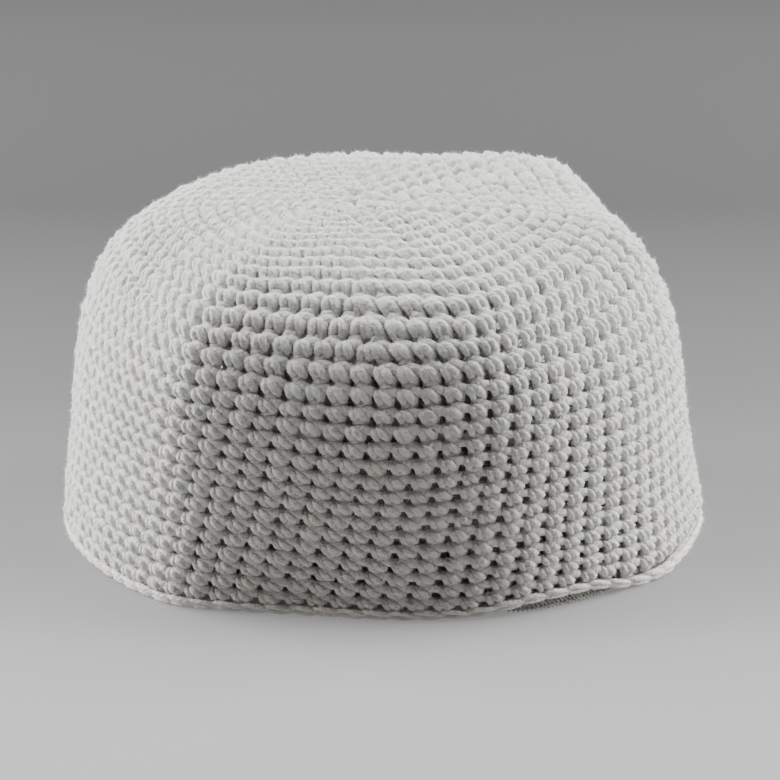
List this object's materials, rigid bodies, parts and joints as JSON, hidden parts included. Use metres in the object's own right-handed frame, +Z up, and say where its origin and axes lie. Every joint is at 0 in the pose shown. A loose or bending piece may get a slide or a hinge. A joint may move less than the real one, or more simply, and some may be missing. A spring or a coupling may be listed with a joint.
{
  "type": "kufi",
  "caption": "Brimless crocheted skull-cap with a flat, softly cornered crown, a straight wall, a chain-edged rim and a tape sewn inside the rim.",
  "frame": {"origin": "middle of the cap's bounding box, on the surface that its rim stands on", "axes": "+Z up through the crown, +X to the wearer's side, the worked front with the lifted stretch of rim towards -Y"},
  "size_m": [0.1886, 0.1691, 0.0957],
  "materials": {
    "yarn": "off-white soft-spun yarn, matt, slightly fuzzy",
    "edging_yarn": "off-white yarn worked as a chain, slightly creamier than the cap",
    "tape": "white woven cotton tape with fine slanted ribs"
  },
  "bodies": {
    "root": {"cap_body": "yarn", "rim_edging": "edging_yarn", "inner_band": "tape"}
  },
  "joints": []
}
